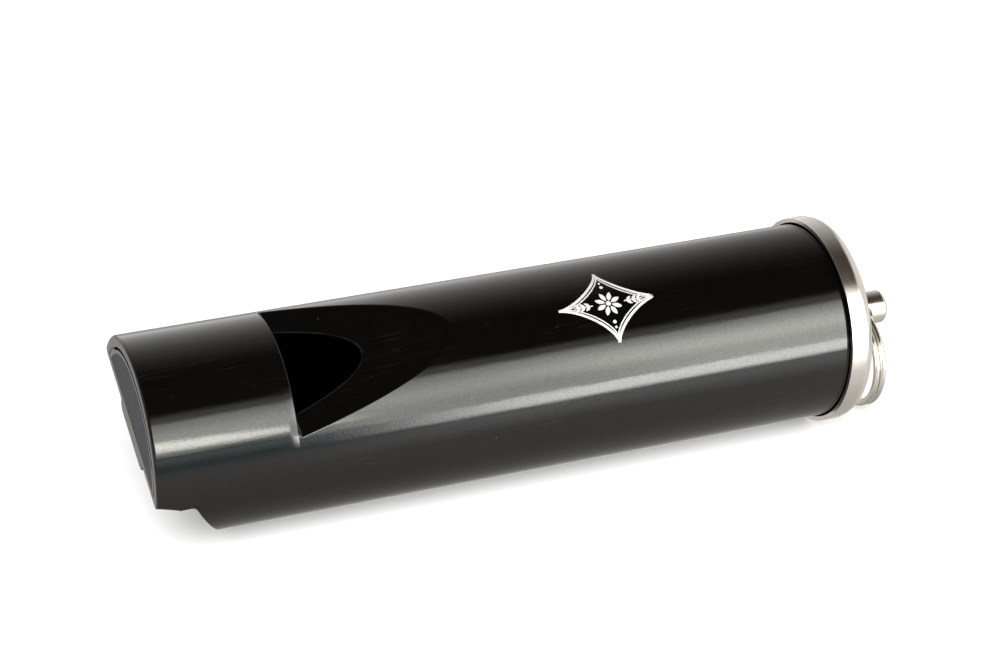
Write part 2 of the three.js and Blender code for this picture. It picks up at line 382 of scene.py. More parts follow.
# Materials. A grain is a noise per metre: along the barrel, round it and across, or everywhere.

DRAW_GRAIN = (30, 4200, 1)
SCUFF_GRAIN = (60, 220, 1)
WAVE_GRAIN = (45, 130, 1)
PEEL_GRAIN = (160, 1400, 1)
SHINE_GRAIN = (1500, 3300, 1)
POLISH_GRAIN = (5200, 90, 1)
TOOL_GRAIN = (6000, 60, 1)
FIBRE_GRAIN = (900, 2600, 2600)
CROSS_GRAIN = (2600, 900, 2600)
CLOUD_GRAIN = 45.0
PATCH_GRAIN = 90.0
TARNISH_GRAIN = 170.0
DENT_GRAIN = 260.0
CLUMP_GRAIN = 420.0
DUST_GRAIN = 520.0
DULL_GRAIN = 600.0
THIN_INK_GRAIN = 700.0
SPECKLE_GRAIN = 2200.0
PIT_GRAIN = 2600.0
PEBBLE_GRAIN = 4200.0

# Relief in millimetres
WAVE_HEIGHT = 0.02
PEEL_HEIGHT = 0.005
SPECKLE_HEIGHT = 0.002
DENT_HEIGHT = 0.05
POLISH_HEIGHT = 0.0012
CLUMP_HEIGHT = 0.12
FIBRE_HEIGHT = 0.08
TOOL_HEIGHT = 0.01
INK_HEIGHT = 0.01
WORN_WIDTH = 0.35
LAND_FADE = 0.12

# Scratches: direction, grain along and across, width, and a shift that sets them apart
BLACK_SCRATCHES = (
    (0.12, 14, 900, 0.006, 0.013),
    (-0.5, 18, 800, 0.005, 0.031),
    (1.35, 30, 700, 0.005, 0.047),
)
PLATE_SCRATCHES = (
    (0.9, 60, 1500, 0.006, 0.021),
    (-0.4, 60, 1500, 0.006, 0.037),
)

WORN_BLACK = (0.05, 0.048, 0.045, 1)
DUST_GREY = (0.16, 0.155, 0.145, 1)
FELT_DARK = (0.03, 0.032, 0.028, 1)
FELT_PALE = (0.15, 0.155, 0.135, 1)
FELT_CLUMP = (0.05, 0.05, 0.046, 1)
BRASS_BRIGHT = (0.62, 0.46, 0.19, 1)
BRASS_DULL = (0.38, 0.26, 0.11, 1)
INK_WHITE = (0.86, 0.86, 0.85, 1)
INK_THIN = (0.62, 0.62, 0.62, 1)
INK_PIT = (0.06, 0.06, 0.06, 1)
NICKEL = (0.75, 0.715, 0.67, 1)


class Nodes:
    """A node tree made by short calls: a socket is linked, and any other value is set."""

    def __init__(self, tree):
        self.tree = tree
        tree.nodes.clear()

    def add(self, kind, inputs, **settings):
        node = self.tree.nodes.new(kind)
        for name, value in settings.items():
            setattr(node, name, value)
        for key, value in inputs.items():
            if isinstance(value, bpy.types.NodeSocket):
                self.tree.links.new(value, node.inputs[key])
            else:
                node.inputs[key].default_value = value
        return node

    def math(self, operation, first, *others):
        """One operation, from left to right where there are more than two values."""
        result = first
        for other in others or (0.0,):
            inputs = {0: result, 1: other}
            result = self.add("ShaderNodeMath", inputs, operation=operation).outputs[0]
        return result

    def smooth(self, value, low, high, start=0.0, end=1.0):
        inputs = {"Value": value, "From Min": low, "From Max": high, "To Min": start, "To Max": end}
        node = self.add("ShaderNodeMapRange", inputs, interpolation_type="SMOOTHSTEP")
        return node.outputs["Result"]

    def scaled(self, colour, strength):
        inputs = {0: colour, "Scale": strength}
        return self.add("ShaderNodeVectorMath", inputs, operation="SCALE").outputs[0]

    def added(self, first, *others):
        """The sum of colours."""
        result = first
        for other in others:
            inputs = {0: result, 1: other}
            result = self.add("ShaderNodeVectorMath", inputs, operation="ADD").outputs[0]
        return result

    def mix(self, share, first, second):
        inputs = {0: share, 6: first, 7: second}
        return self.add("ShaderNodeMix", inputs, data_type="RGBA").outputs[2]

    def noise(self, vector, scale, detail=3.0, roughness=0.55):
        inputs = {"Vector": vector, "Scale": scale, "Detail": detail, "Roughness": roughness}
        return self.add("ShaderNodeTexNoise", inputs).outputs[0]

    def stretched(self, vector, scale, turn=0.0, shift=0.0):
        inputs = {
            "Vector": vector,
            "Location": (shift, 2 * shift, 3 * shift),
            "Rotation": (0, 0, turn),
            "Scale": scale,
        }
        return self.add("ShaderNodeMapping", inputs).outputs[0]

    def drawn_noise(self, vector, scale, detail, roughness=0.55, turn=0.0):
        """A noise with its own scale on each axis."""
        return self.noise(self.stretched(vector, scale, turn), 1.0, detail, roughness)

    def hairlines(self, vector, turn, along, across, width, shift):
        """Thin broken lines at an angle, from the contours of a drawn-out noise."""
        drawn = self.noise(self.stretched(vector, (along, across, along), turn, shift), 1.0, 1.0)
        off = self.math("ABSOLUTE", self.math("SUBTRACT", drawn, 0.5))
        line = self.smooth(off, width, 0.0)
        patch = self.noise(self.stretched(vector, (1, 1, 1), turn, 5 * shift), PATCH_GRAIN, 1.0)
        return self.math("MULTIPLY", line, self.smooth(patch, 0.52, 0.66))

    def around_axis(self):
        """Place along the barrel and distance round its skin, and the object's own place."""
        place = self.add("ShaderNodeTexCoord", {}).outputs["Object"]
        centred = self.add(
            "ShaderNodeVectorMath", {0: place, 1: (0, 0, AXIS_Z)}, operation="SUBTRACT"
        ).outputs[0]
        parts = self.add("ShaderNodeSeparateXYZ", {0: centred}).outputs
        angle = self.math("ARCTAN2", self.math("MULTIPLY", parts[1], -1.0), parts[2])
        round_skin = self.math("MULTIPLY", angle, BARREL_RADIUS_MOUTH * MM)
        flat = self.add("ShaderNodeCombineXYZ", {0: parts[0], 1: round_skin}).outputs[0]
        return flat, place

    def from_axis(self, place):
        """Distance from the barrel's axis, in metres."""
        inputs = {0: place, 1: (0, 1, 1), 2: (0, 0, -AXIS_Z)}
        flat = self.add("ShaderNodeVectorMath", inputs, operation="MULTIPLY_ADD").outputs[0]
        return self.add("ShaderNodeVectorMath", {0: flat}, operation="LENGTH").outputs["Value"]

    def window_sink(self, flat):
        """The skin's level, which sinks from 1 to 0 beside the window's square edge."""
        along, around, _ = self.add("ShaderNodeSeparateXYZ", {0: flat}).outputs
        start = MOUTH_X + (WINDOW_EDGE - SINK_WIDTH) * MM
        share = self.math("DIVIDE", self.math("SUBTRACT", along, start), SINK_WIDTH * MM)
        share = self.math("MINIMUM", self.math("MAXIMUM", share, 0.0), 1.0)
        skin = BARREL_RADIUS_MOUTH * MM
        off = self.math("ABSOLUTE", self.math("SUBTRACT", around, LIE_ANGLE * skin))
        beside = self.smooth(off, SINK_START * skin, SINK_FULL * skin)
        sunk = self.math("MULTIPLY", self.math("POWER", share, 2.0), beside)
        return self.math("SUBTRACT", 1.0, sunk)

    def edge(self, radius):
        """1 on sharp edges, 0 away from them."""
        plain = self.add("ShaderNodeNewGeometry", {}).outputs["Normal"]
        rounded = self.add("ShaderNodeBevel", {"Radius": radius}, samples=4).outputs[0]
        alike = self.add("ShaderNodeVectorMath", {0: plain, 1: rounded}, operation="DOT_PRODUCT")
        return self.smooth(alike.outputs["Value"], 0.995, 0.86)

    def bump(self, height, distance, under=None):
        inputs = {"Height": height, "Distance": distance, "Strength": 1.0}
        if under:
            inputs["Normal"] = under
        return self.add("ShaderNodeBump", inputs).outputs[0]

    def surface(self, shader):
        self.add("ShaderNodeOutputMaterial", {"Surface": shader.outputs[0]})

    def principled(self, inputs):
        self.surface(self.add("ShaderNodeBsdfPrincipled", inputs))


def material(name):
    made = bpy.data.materials.new(name)
    made.use_nodes = True
    return made, Nodes(made.node_tree)


def black_plastic(name, dark, pale, rough, draw_height, pebble=0, land=0, sink=0):
    """A glossy black moulding with draw lines, scuffs, hairline scratches, dust and worn edges."""
    made, nodes = material(name)
    flat, place = nodes.around_axis()
    draw = nodes.drawn_noise(flat, DRAW_GRAIN, 4.0)
    scuff = nodes.drawn_noise(flat, SCUFF_GRAIN, 5.0, 0.6)
    cloud = nodes.noise(place, CLOUD_GRAIN, 3.0)
    lines = nodes.math("MAXIMUM", *[nodes.hairlines(flat, *mark) for mark in BLACK_SCRATCHES])
    cells = nodes.add("ShaderNodeTexVoronoi", {"Vector": place, "Scale": DUST_GRAIN})
    near = nodes.smooth(cells.outputs["Distance"], 0.085, 0.03)
    rare = nodes.add("ShaderNodeSeparateXYZ", {0: cells.outputs["Color"]}).outputs[0]
    dust = nodes.math("MULTIPLY", near, nodes.smooth(rare, 0.93, 0.95))
    worn = nodes.math("MULTIPLY", nodes.edge(WORN_WIDTH * MM), nodes.smooth(scuff, 0.35, 0.75))
    marks = nodes.math("MAXIMUM", nodes.math("MULTIPLY", lines, 0.25), dust)
    shade = nodes.mix(cloud, dark, pale)
    shade = nodes.mix(nodes.math("MULTIPLY", worn, 0.5), shade, WORN_BLACK)
    shade = nodes.mix(nodes.math("MULTIPLY", marks, 0.3), shade, DUST_GREY)
    gloss = nodes.math(
        "ADD",
        nodes.smooth(scuff, 0.3, 0.8, rough, rough + 0.05),
        nodes.math("MULTIPLY", draw, 0.02),
        nodes.math("MULTIPLY", marks, 0.2),
    )
    normal = nodes.bump(nodes.drawn_noise(flat, WAVE_GRAIN, 2.0), WAVE_HEIGHT * MM)
    normal = nodes.bump(nodes.drawn_noise(flat, PEEL_GRAIN, 2.0), PEEL_HEIGHT * MM, normal)
    normal = nodes.bump(nodes.noise(place, SPECKLE_GRAIN, 2.0), SPECKLE_HEIGHT * MM, normal)
    normal = nodes.bump(draw, draw_height * MM, normal)
    if sink:
        normal = nodes.bump(nodes.window_sink(flat), sink * MM, normal)
    if pebble:
        inside = nodes.smooth(nodes.from_axis(place), (land + LAND_FADE) * MM, land * MM)
        gloss = nodes.math("ADD", nodes.math("MULTIPLY", gloss, inside), 0.05)
        pebbles = nodes.math("MULTIPLY", nodes.noise(place, PEBBLE_GRAIN, 2.0), inside)
        normal = nodes.bump(pebbles, pebble * MM, normal)
    shine = nodes.drawn_noise(flat, SHINE_GRAIN, 3.0, 0.7)
    nodes.principled({
        "Base Color": shade,
        "Roughness": gloss,
        "IOR": 1.5,
        "Specular IOR Level": nodes.smooth(shine, 0.25, 0.75, 0.44, 0.56),
        "Normal": normal,
    })
    return made


def plated(name, tint, tarnish, rough):
    """Bright nickel plate: faint dents, polishing lines, hairline scratches and brown tarnish."""
    made, nodes = material(name)
    flat, place = nodes.around_axis()
    cloud = nodes.noise(place, TARNISH_GRAIN, 4.0)
    polish = nodes.drawn_noise(flat, POLISH_GRAIN, 3.0)
    lines = nodes.math("MAXIMUM", *[nodes.hairlines(flat, *mark) for mark in PLATE_SCRATCHES])
    worn = nodes.smooth(cloud, 0.52, 0.8)
    shade = nodes.mix(nodes.math("MULTIPLY", worn, 0.55), tint, tarnish)
    gloss = nodes.math(
        "ADD",
        nodes.smooth(cloud, 0.3, 0.8, rough, rough + 0.1),
        nodes.math("MULTIPLY", nodes.math("MAXIMUM", lines, polish), 0.05),
    )
    normal = nodes.bump(nodes.noise(place, DENT_GRAIN, 1.0), DENT_HEIGHT * MM)
    normal = nodes.bump(polish, POLISH_HEIGHT * MM, normal)
    nodes.principled({
        "Base Color": shade, "Metallic": 1.0, "Roughness": gloss, "Normal": normal,
    })
    return made


def felt():
    """Pressed wool felt: mixed grey fibres, a soft nap and a fuzzy surface."""
    made, nodes = material("wool_felt")
    place = nodes.add("ShaderNodeTexCoord", {}).outputs["Object"]
    fibre = nodes.drawn_noise(place, FIBRE_GRAIN, 4.0, 0.7)
    cross = nodes.drawn_noise(place, CROSS_GRAIN, 4.0, 0.7, 0.7)
    clump = nodes.noise(place, CLUMP_GRAIN, 3.0)
    mat = nodes.math("MAXIMUM", fibre, cross)
    shade = nodes.mix(mat, FELT_DARK, FELT_PALE)
    shade = nodes.mix(nodes.math("MULTIPLY", clump, 0.4), shade, FELT_CLUMP)
    normal = nodes.bump(clump, CLUMP_HEIGHT * MM)
    normal = nodes.bump(mat, FIBRE_HEIGHT * MM, normal)
    nodes.principled({
        "Base Color": shade, "Roughness": 0.95, "Sheen Weight": 0.35, "Sheen Roughness": 0.6,
        "Normal": normal,
    })
    return made


def brass():
    """Turned brass with tool lines and dull patches."""
    made, nodes = material("turned_brass")
    flat, place = nodes.around_axis()
    tool = nodes.drawn_noise(flat, TOOL_GRAIN, 3.0)
    dull = nodes.noise(place, DULL_GRAIN, 4.0)
    nodes.principled({
        "Base Color": nodes.mix(dull, BRASS_BRIGHT, BRASS_DULL),
        "Metallic": 1.0,
        "Roughness": nodes.smooth(dull, 0.3, 0.75, 0.22, 0.42),
        "Normal": nodes.bump(tool, TOOL_HEIGHT * MM),
    })
    return made


def ink():
    """White printing ink, thin and pitted in places."""
    made, nodes = material("white_ink")
    place = nodes.add("ShaderNodeTexCoord", {}).outputs["Object"]
    pits = nodes.smooth(nodes.noise(place, PIT_GRAIN, 3.0), 0.66, 0.74)
    thin = nodes.noise(place, THIN_INK_GRAIN, 3.0)
    shade = nodes.mix(thin, INK_WHITE, INK_THIN)
    nodes.principled({
        "Base Color": nodes.mix(nodes.math("MULTIPLY", pits, 0.7), shade, INK_PIT),
        "Roughness": nodes.smooth(thin, 0.3, 0.7, 0.38, 0.55),
        "Normal": nodes.bump(thin, INK_HEIGHT * MM),
    })
    return made


# Camera at the photograph's viewing angle

CAMERA_AZIMUTH = math.radians(-21.91)
CAMERA_ELEVATION = math.radians(25.33)
CAMERA_DISTANCE = 383.55
CAMERA_LENS = 86.47
CAMERA_SENSOR = 36
CAMERA_NEAR = 0.01
CAMERA_FAR = 20
CAMERA_AIM_ALONG = 60.85
CAMERA_AIM_RISE = 7.096
CAMERA_TARGET = Vector((MOUTH_X / MM + CAMERA_AIM_ALONG, 0, AXIS_Z / MM + CAMERA_AIM_RISE))


def direction(bearing, height):
    """Towards a bearing, counted from the front to the right, and a height over the horizon."""
    return Vector((
        math.sin(bearing) * math.cos(height),
        -math.cos(bearing) * math.cos(height),
        math.sin(height),
    ))


camera_data = bpy.data.cameras.new("camera")
camera_data.lens = CAMERA_LENS
camera_data.sensor_width = CAMERA_SENSOR
camera_data.clip_start = CAMERA_NEAR
camera_data.clip_end = CAMERA_FAR
camera = bpy.data.objects.new("camera", camera_data)
bpy.context.collection.objects.link(camera)
away = direction(CAMERA_AZIMUTH, CAMERA_ELEVATION)
camera.location = (CAMERA_TARGET + away * CAMERA_DISTANCE) * MM
camera.rotation_mode = "QUATERNION"
camera.rotation_quaternion = (-away).to_track_quat("-Z", "Y")
bpy.context.scene.camera = camera
bpy.context.scene.view_settings.view_transform = "Standard"


# Studio: a white room with a broad soft light to the right of the camera. A ramp is (from, to,
# value from, value to). Those by height over the horizon and by bearing are in degrees.

WALL_STRETCH = 0.9
WALL_FALL = 1.8
WALL_ACROSS = (0.08, 0.62, 1.76, 0.54)
SCREEN_SIDES = (-0.85, 0.85, 0.35, 0.8)
SCREEN_ACROSS = (0.5, 0.8)
SCREEN_TOP = (72, 40)

LIGHT_LEFT = (-22, -6)
LIGHT_RIGHT = (58, 46)
LIGHT_RIM = (47.5, 41, 0.0, 0.9)
LIGHT_EDGE = (39.5, 34.5, 0.0, 2.2)
LIGHT_BODY = (40, 18, 0.0, 3.7)
LIGHT_BRIGHT_SIDE = (20, 25.5, 0.95, 1.8)
LIGHT_LOWER = (7, 19, 0.78, 1.0)
LIGHT_FADE = (-2, 7.5)
LIGHT_FAR_END = (13.2, 15.8)
SPOT_BEARING = math.radians(11.2)
SPOT_WIDTH = math.radians(4.2)
SPOT_RISE = math.radians(28.8)
SPOT_TILT = 1.4
SPOT_HEIGHT = math.radians(5.8)
SPOT_GLOW = (1.6, 0.0, 0.0, 11.5)
FOOT_RISE = (-16, -7.5, 0.0, 11.4)
FOOT_LEFT = (14.5, 21.5)
SPILL_RISE = (-38, -14, 0.0, 1.15)
SPILL_LEFT = (14, 21.5)

TABLE_RISE = (-85, -20, 0.41, 0.87)
TABLE_BACK = (-0.1, 0.6, 1.0, 0.74)
TABLE_DIP = math.radians(11.5)
TABLE_DIP_ACROSS = (math.radians(7), 0.0, 1.0, 0.7)
TABLE_EDGE = (-10, -1, 0.0, 0.5)
FRONT_RISE = (-24, -12)
FRONT_SIDE = (0.0, -0.4)
HORIZON = (-0.5, 0.5)

AMBIENT = (0.055, 0.044, 0.033)
LIGHT_TINT = (1.0, 1.0, 0.93)
FOOT_TINT = (1.0, 1.0, 0.94)
WALL_TINT = (1.0, 1.0, 0.98)
TABLE_TINT = (1.0, 0.98, 0.94, 1)
FRONT_TINT = (0.8, 0.95, 1.0, 1)

FLOOR_SIZE = 3.0
FLOOR_DROP = 0.03
FLOOR_DARK = (0.6, 0.6, 0.605, 1)
FLOOR_PALE = (0.61, 0.61, 0.615, 1)
FLOOR_GLOW = 0.25
SHADOW_BEARING = math.radians(-25)
SHADOW_HEIGHT = math.radians(45)
SHADOW_SOFTNESS = math.radians(30)
SHADOW_STRENGTH = 4.5


def studio():
    """The room as the call mirrors it. The camera sees plain white instead."""
    world = bpy.data.worlds.new("studio")
    world.use_nodes = True
    bpy.context.scene.world = world
    nodes = Nodes(world.node_tree)
    way = nodes.add("ShaderNodeTexCoord", {}).outputs["Generated"]
    x, y, z = nodes.add("ShaderNodeSeparateXYZ", {0: way}).outputs
    height = nodes.math("ARCSINE", z)
    bearing = nodes.math("ARCTAN2", x, nodes.math("MULTIPLY", y, -1.0))
    outward = nodes.math("ABSOLUTE", x)

    def by_height(low, high, *values):
        return nodes.smooth(height, math.radians(low), math.radians(high), *values)

    def by_bearing(low, high, *values):
        return nodes.smooth(bearing, math.radians(low), math.radians(high), *values)

    # The backdrop behind the call, which darkens towards the ceiling, and a screen on each side
    rise = nodes.math("MAXIMUM", nodes.math("ARCTAN2", y, z), 0.0)
    wave = nodes.math("SINE", nodes.math("MULTIPLY", rise, WALL_STRETCH))
    wave = nodes.math("POWER", nodes.math("MAXIMUM", wave, 0.0), WALL_FALL)
    wall = nodes.math("MULTIPLY", wave, nodes.smooth(outward, *WALL_ACROSS))
    screen = nodes.math(
        "MULTIPLY",
        nodes.smooth(x, *SCREEN_SIDES),
        nodes.smooth(outward, *SCREEN_ACROSS),
        by_height(*SCREEN_TOP),
    )
    wall = nodes.math("MAXIMUM", wall, screen)

    # The soft light: a faint rim over a sharp upper edge, a body that is brighter to the right,
    # and a tilted hot spot at its near end
    within = nodes.math("MULTIPLY", by_bearing(*LIGHT_LEFT), by_bearing(*LIGHT_RIGHT))
    body = nodes.math("MULTIPLY", by_height(*LIGHT_BODY), by_bearing(*LIGHT_BRIGHT_SIDE))
    box = nodes.math("ADD", by_height(*LIGHT_RIM), by_height(*LIGHT_EDGE), body)
    box = nodes.math("MULTIPLY", box, by_height(*LIGHT_LOWER))
    spot_x = nodes.math("DIVIDE", nodes.math("SUBTRACT", bearing, SPOT_BEARING), SPOT_WIDTH)
    sag = nodes.math("ADD", nodes.math("MULTIPLY", bearing, SPOT_TILT), -SPOT_RISE)
    spot_z = nodes.math("DIVIDE", nodes.math("ADD", height, sag), SPOT_HEIGHT)
    far = nodes.math("ADD", nodes.math("POWER", spot_x, 2.0), nodes.math("POWER", spot_z, 2.0))
    box = nodes.math("ADD", box, nodes.smooth(far, *SPOT_GLOW))
    low_end = nodes.math("MAXIMUM", by_height(*LIGHT_FADE), by_bearing(*LIGHT_FAR_END))
    box = nodes.math("MULTIPLY", box, low_end, within)
    upper = nodes.added(AMBIENT, nodes.scaled(LIGHT_TINT, box), nodes.scaled(WALL_TINT, wall))

    # The light's foot below the table's edge, and its glow on the table
    foot = nodes.math("MULTIPLY", by_height(*FOOT_RISE), by_bearing(*FOOT_LEFT))
    spill = nodes.math("MULTIPLY", by_height(*SPILL_RISE), by_bearing(*SPILL_LEFT))
    foot = nodes.math("MULTIPLY", nodes.math("ADD", foot, spill), within)

    # The table, paler towards its edge, which is bluish in front of the call
    from_dip = nodes.math("ABSOLUTE", nodes.math("ADD", height, TABLE_DIP))
    table = nodes.math(
        "MULTIPLY",
        by_height(*TABLE_RISE),
        nodes.smooth(y, *TABLE_BACK),
        nodes.smooth(from_dip, *TABLE_DIP_ACROSS),
    )
    table = nodes.math("ADD", table, by_height(*TABLE_EDGE))
    front = nodes.math("MULTIPLY", by_height(*FRONT_RISE), nodes.smooth(y, *FRONT_SIDE))
    tint = nodes.mix(front, TABLE_TINT, FRONT_TINT)
    lower = nodes.added(nodes.scaled(tint, table), nodes.scaled(FOOT_TINT, foot))
    room = nodes.mix(by_height(*HORIZON), lower, upper)

    seen = nodes.add("ShaderNodeLightPath", {}).outputs["Is Camera Ray"]
    white = nodes.add("ShaderNodeBackground", {"Color": (1, 1, 1, 1), "Strength": 1.0})
    lit = nodes.add("ShaderNodeBackground", {"Color": room, "Strength": 1.0})
    both = nodes.add("ShaderNodeMixShader", {0: seen, 1: lit.outputs[0], 2: white.outputs[0]})
    nodes.add("ShaderNodeOutputWorld", {"Surface": both.outputs[0]})


def floor():
    """A pale table that the camera sees with the call's shadow; the room itself lights the call."""
    build = bmesh.new()
    bmesh.ops.create_grid(build, x_segments=4, y_segments=4, size=FLOOR_SIZE)
    mesh = mesh_from(build)
    made, nodes = material("pale_table")
    tone = nodes.noise(nodes.add("ShaderNodeTexCoord", {}).outputs["Object"], 3.0)
    matt = nodes.add("ShaderNodeBsdfDiffuse", {"Color": nodes.mix(tone, FLOOR_DARK, FLOOR_PALE)})
    glow = nodes.add("ShaderNodeEmission", {"Strength": FLOOR_GLOW})
    nodes.surface(nodes.add("ShaderNodeAddShader", {0: matt.outputs[0], 1: glow.outputs[0]}))
    mesh.materials.append(made)
    table = bpy.data.objects.new("table", mesh)
    table.location.z = -FLOOR_DROP * MM
    table.visible_glossy = False
    table.visible_diffuse = False
    table.visible_shadow = False
    bpy.context.collection.objects.link(table)
    return table


def shadow_lamp(table):
    """A soft lamp over the camera that lights the table alone and lays the call's shadow on it."""
    data = bpy.data.lights.new("shadow_lamp", "SUN")
    data.energy = SHADOW_STRENGTH
    data.angle = SHADOW_SOFTNESS
    lamp = bpy.data.objects.new("shadow_lamp", data)
    bpy.context.collection.objects.link(lamp)
    lamp.rotation_mode = "QUATERNION"
    way = -direction(SHADOW_BEARING, SHADOW_HEIGHT)
    lamp.rotation_quaternion = way.to_track_quat("-Z", "Y")
    takers = bpy.data.collections.new("table_only")
    takers.objects.link(table)
    lamp.light_linking.receiver_collection = takers


studio()
shadow_lamp(floor())


# The call

BLACK = black_plastic(
    "barrel_black", (0.0008, 0.0008, 0.0009, 1), (0.0017, 0.0016, 0.0016, 1),
    rough=0.05, draw_height=0.0004, sink=SINK_DEPTH,
)
PLUG_BLACK = black_plastic(
    "plug_black", (0.008, 0.012, 0.024, 1), (0.012, 0.017, 0.032, 1),
    rough=0.42, draw_height=0.002, pebble=0.04, land=PLUG_LAND,
)
INNER_BLACK = black_plastic(
    "inner_black", (0.01, 0.01, 0.0105, 1), (0.016, 0.016, 0.016, 1),
    rough=0.34, draw_height=0.003,
)
CAP_NICKEL = plated("cap_plate", NICKEL, (0.5, 0.43, 0.36, 1), rough=0.11)
ROD_NICKEL = plated("rod_plate", NICKEL, (0.5, 0.44, 0.37, 1), rough=0.1)
RING_NICKEL = plated("ring_plate", (0.72, 0.68, 0.63, 1), (0.46, 0.4, 0.33, 1), rough=0.13)
FELT = felt()
BRASS = brass()
INK = ink()


def skin_radius(x):
    share = x / SKIRT_EDGE
    return BARREL_RADIUS_MOUTH + (BARREL_RADIUS_TAIL - BARREL_RADIUS_MOUTH) * share


def ramp_height(x):
    return skin_radius(RAMP_TIP) + (x - RAMP_TIP) * RAMP_SLOPE


def turned_back(mesh):
    """Rolls a mesh from the window's frame into the beak's."""
    mesh.transform(Matrix.Rotation(-BEAK_TURN, 4, "X"))
    return mesh


def beak_cut():
    bend = math.pi / 2 - BEAK_RAKE
    tangent = BEAK_FILLET * math.tan(bend / 2)
    rake = Vector((BEAK_LENGTH - tangent, BEAK_HEIGHT - BEAK_FILLET))
    edge = Vector((BEAK_EDGE, BEAK_HEIGHT + BEAK_EDGE))
    points = [
        Vector((-CLEAR, BEAK_HEIGHT + BEAK_EDGE)),
        Vector((-CLEAR, -CLEAR)),
        Vector((BEAK_LENGTH + (BEAK_HEIGHT + CLEAR) * math.tan(BEAK_RAKE), -CLEAR)),
    ]
    points += [rake + spot for spot in arc(BEAK_FILLET, BEAK_RAKE, math.pi / 2, FILLET_STEPS)]
    points += [edge + spot for spot in arc(BEAK_EDGE, 1.5 * math.pi, math.pi, FILLET_STEPS)]
    return turned_back(prism(points, sideways, -CLEAR, CLEAR))


def corner_cut(side):
    """What is rounded off between the skin and the beak's flat, on one side of the beak."""
    build = bmesh.new()
    rings = []
    for i in range(BEAK_CORNER_ROWS + 1):
        share = (i - 1) / (BEAK_CORNER_ROWS - 1)
        place = BEAK_CORNER_LENGTH * share
        radius = BEAK_CORNER * max(BEAK_CORNER_START - max(share, 0), 0) ** BEAK_CORNER_FALL
        skin = skin_radius(place)
        height = BEAK_HEIGHT + radius
        across = math.sqrt((skin - radius) ** 2 - height ** 2)
        touch = math.atan2(height, across)
        middle = Vector((across, height))
        points = [middle + spot for spot in arc(radius, -math.pi / 2, touch, FILLET_STEPS)]
        outside = 2 * skin
        points.append(Vector((outside * math.cos(touch), outside * math.sin(touch))))
        points.append(Vector((outside, BEAK_HEIGHT - BEAK_EDGE)))
        points.append(Vector((across, BEAK_HEIGHT - BEAK_EDGE)))
        rings.append([build.verts.new((place, side * u, v)) for u, v in points])
    return turned_back(lofted(build, rings))


def beak_block(start, end, low, high):
    """A box in the beak's frame, from wall to wall of the barrel."""
    half = (PLUG_BORE + BARREL_RADIUS_MOUTH) / 2
    corners = [(half, low), (half, high), (-half, high), (-half, low)]
    return turned_back(prism(corners, lengthways, start, end))


def teeth_ridge():
    half = RIDGE_WIDTH / 2
    foot = BEAK_HEIGHT - RIDGE_DEPTH
    section = outline([
        (half, BEAK_HEIGHT + BEAK_WALL / 2, 0),
        (-half, BEAK_HEIGHT + BEAK_WALL / 2, 0),
        (-half, foot, RIDGE_CORNER),
        (half, foot, RIDGE_CORNER),
    ])
    return turned_back(prism(section, lengthways, RIDGE_START, RIDGE_START + RIDGE_THICKNESS))


def window_cut():
    far = RAMP_TIP + WINDOW_LENGTH
    points = outline([
        (WINDOW_EDGE, ramp_height(WINDOW_EDGE), WINDOW_FILLET),
        (far, ramp_height(far), 0),
        (far, CLEAR, 0),
        (WINDOW_EDGE, CLEAR, 0),
    ])
    return prism(points, sideways, -CLEAR, CLEAR)


def barrel_normal(point):
    """The true normal of the skin, the bore and the ramp, so that reflections run smoothly."""
    near = 0.004
    tail = BARREL_LENGTH - 2 * TAIL_ROUND
    x, y, z = point
    radius = math.hypot(y, z)
    draft = (BARREL_RADIUS_TAIL - BARREL_RADIUS_MOUTH) / SKIRT_EDGE
    if RIM_FILLET - near < x < tail and abs(radius - skin_radius(x)) < near:
        return Vector((-draft, y / radius, z / radius))
    if abs(radius - BORE_RADIUS) < near and WINDOW_EDGE < x < tail:
        return Vector((0, -y / radius, -z / radius))
    if WINDOW_EDGE < x < RAMP_TIP and z > 0 and abs(z - ramp_height(x)) < near:
        return Vector((-RAMP_SLOPE, 0, 1))
    return None


def mouth_seam(point):
    """The plug's seam at the mouth and the beak's rounded corners."""
    x, y, z = Matrix.Rotation(BEAK_TURN, 3, "X") @ point
    at_wall = x < RIM_FILLET and abs(z - BEAK_HEIGHT - BEAK_WALL) < RIM_FILLET / 2
    at_corner = x < BEAK_CORNER_LENGTH + RIM_FILLET and z < BEAK_HEIGHT + 2 * BEAK_CORNER
    return at_wall or at_corner and abs(y) > PLUG_BORE - BEAK_EDGE


def barrel():
    shoulder = WINDOW_EDGE + PRESS_GAP
    profile = outline([
        (PLUG_BORE, 0, BORE_ROUND),
        (skin_radius(0), 0, RIM_FILLET),
        *[(skin_radius(x), x, 0) for x in SKIN_RINGS],
        (skin_radius(BARREL_LENGTH), BARREL_LENGTH, TAIL_ROUND),
        (BORE_RADIUS, BARREL_LENGTH, SMALL_ROUND),
        (BORE_RADIUS, shoulder, 0),
        (PLUG_BORE, shoulder, 0),
    ])
    wall = beak_block(0, BEAK_WALL_LENGTH, BEAK_HEIGHT - BEAK_WALL, BEAK_HEIGHT + BEAK_WALL)
    mesh = turned(profile, BARREL_SEGMENTS)
    mesh = combined(mesh, window_cut(), "DIFFERENCE")
    mesh = combined(mesh, wall, "UNION")
    mesh = combined(mesh, beak_cut(), "DIFFERENCE")
    for side in (-1, 1):
        mesh = combined(mesh, corner_cut(side), "DIFFERENCE")
    mesh = combined(mesh, teeth_ridge(), "UNION")
    mesh = softened(mesh, EDGE_ROUND, BARREL_CREASE, stays_sharp=mouth_seam)
    mesh = shaded(mesh, barrel_normal)
    piece("barrel_tube", mesh, FIXED_FRAME, BLACK, "call", "barrel")


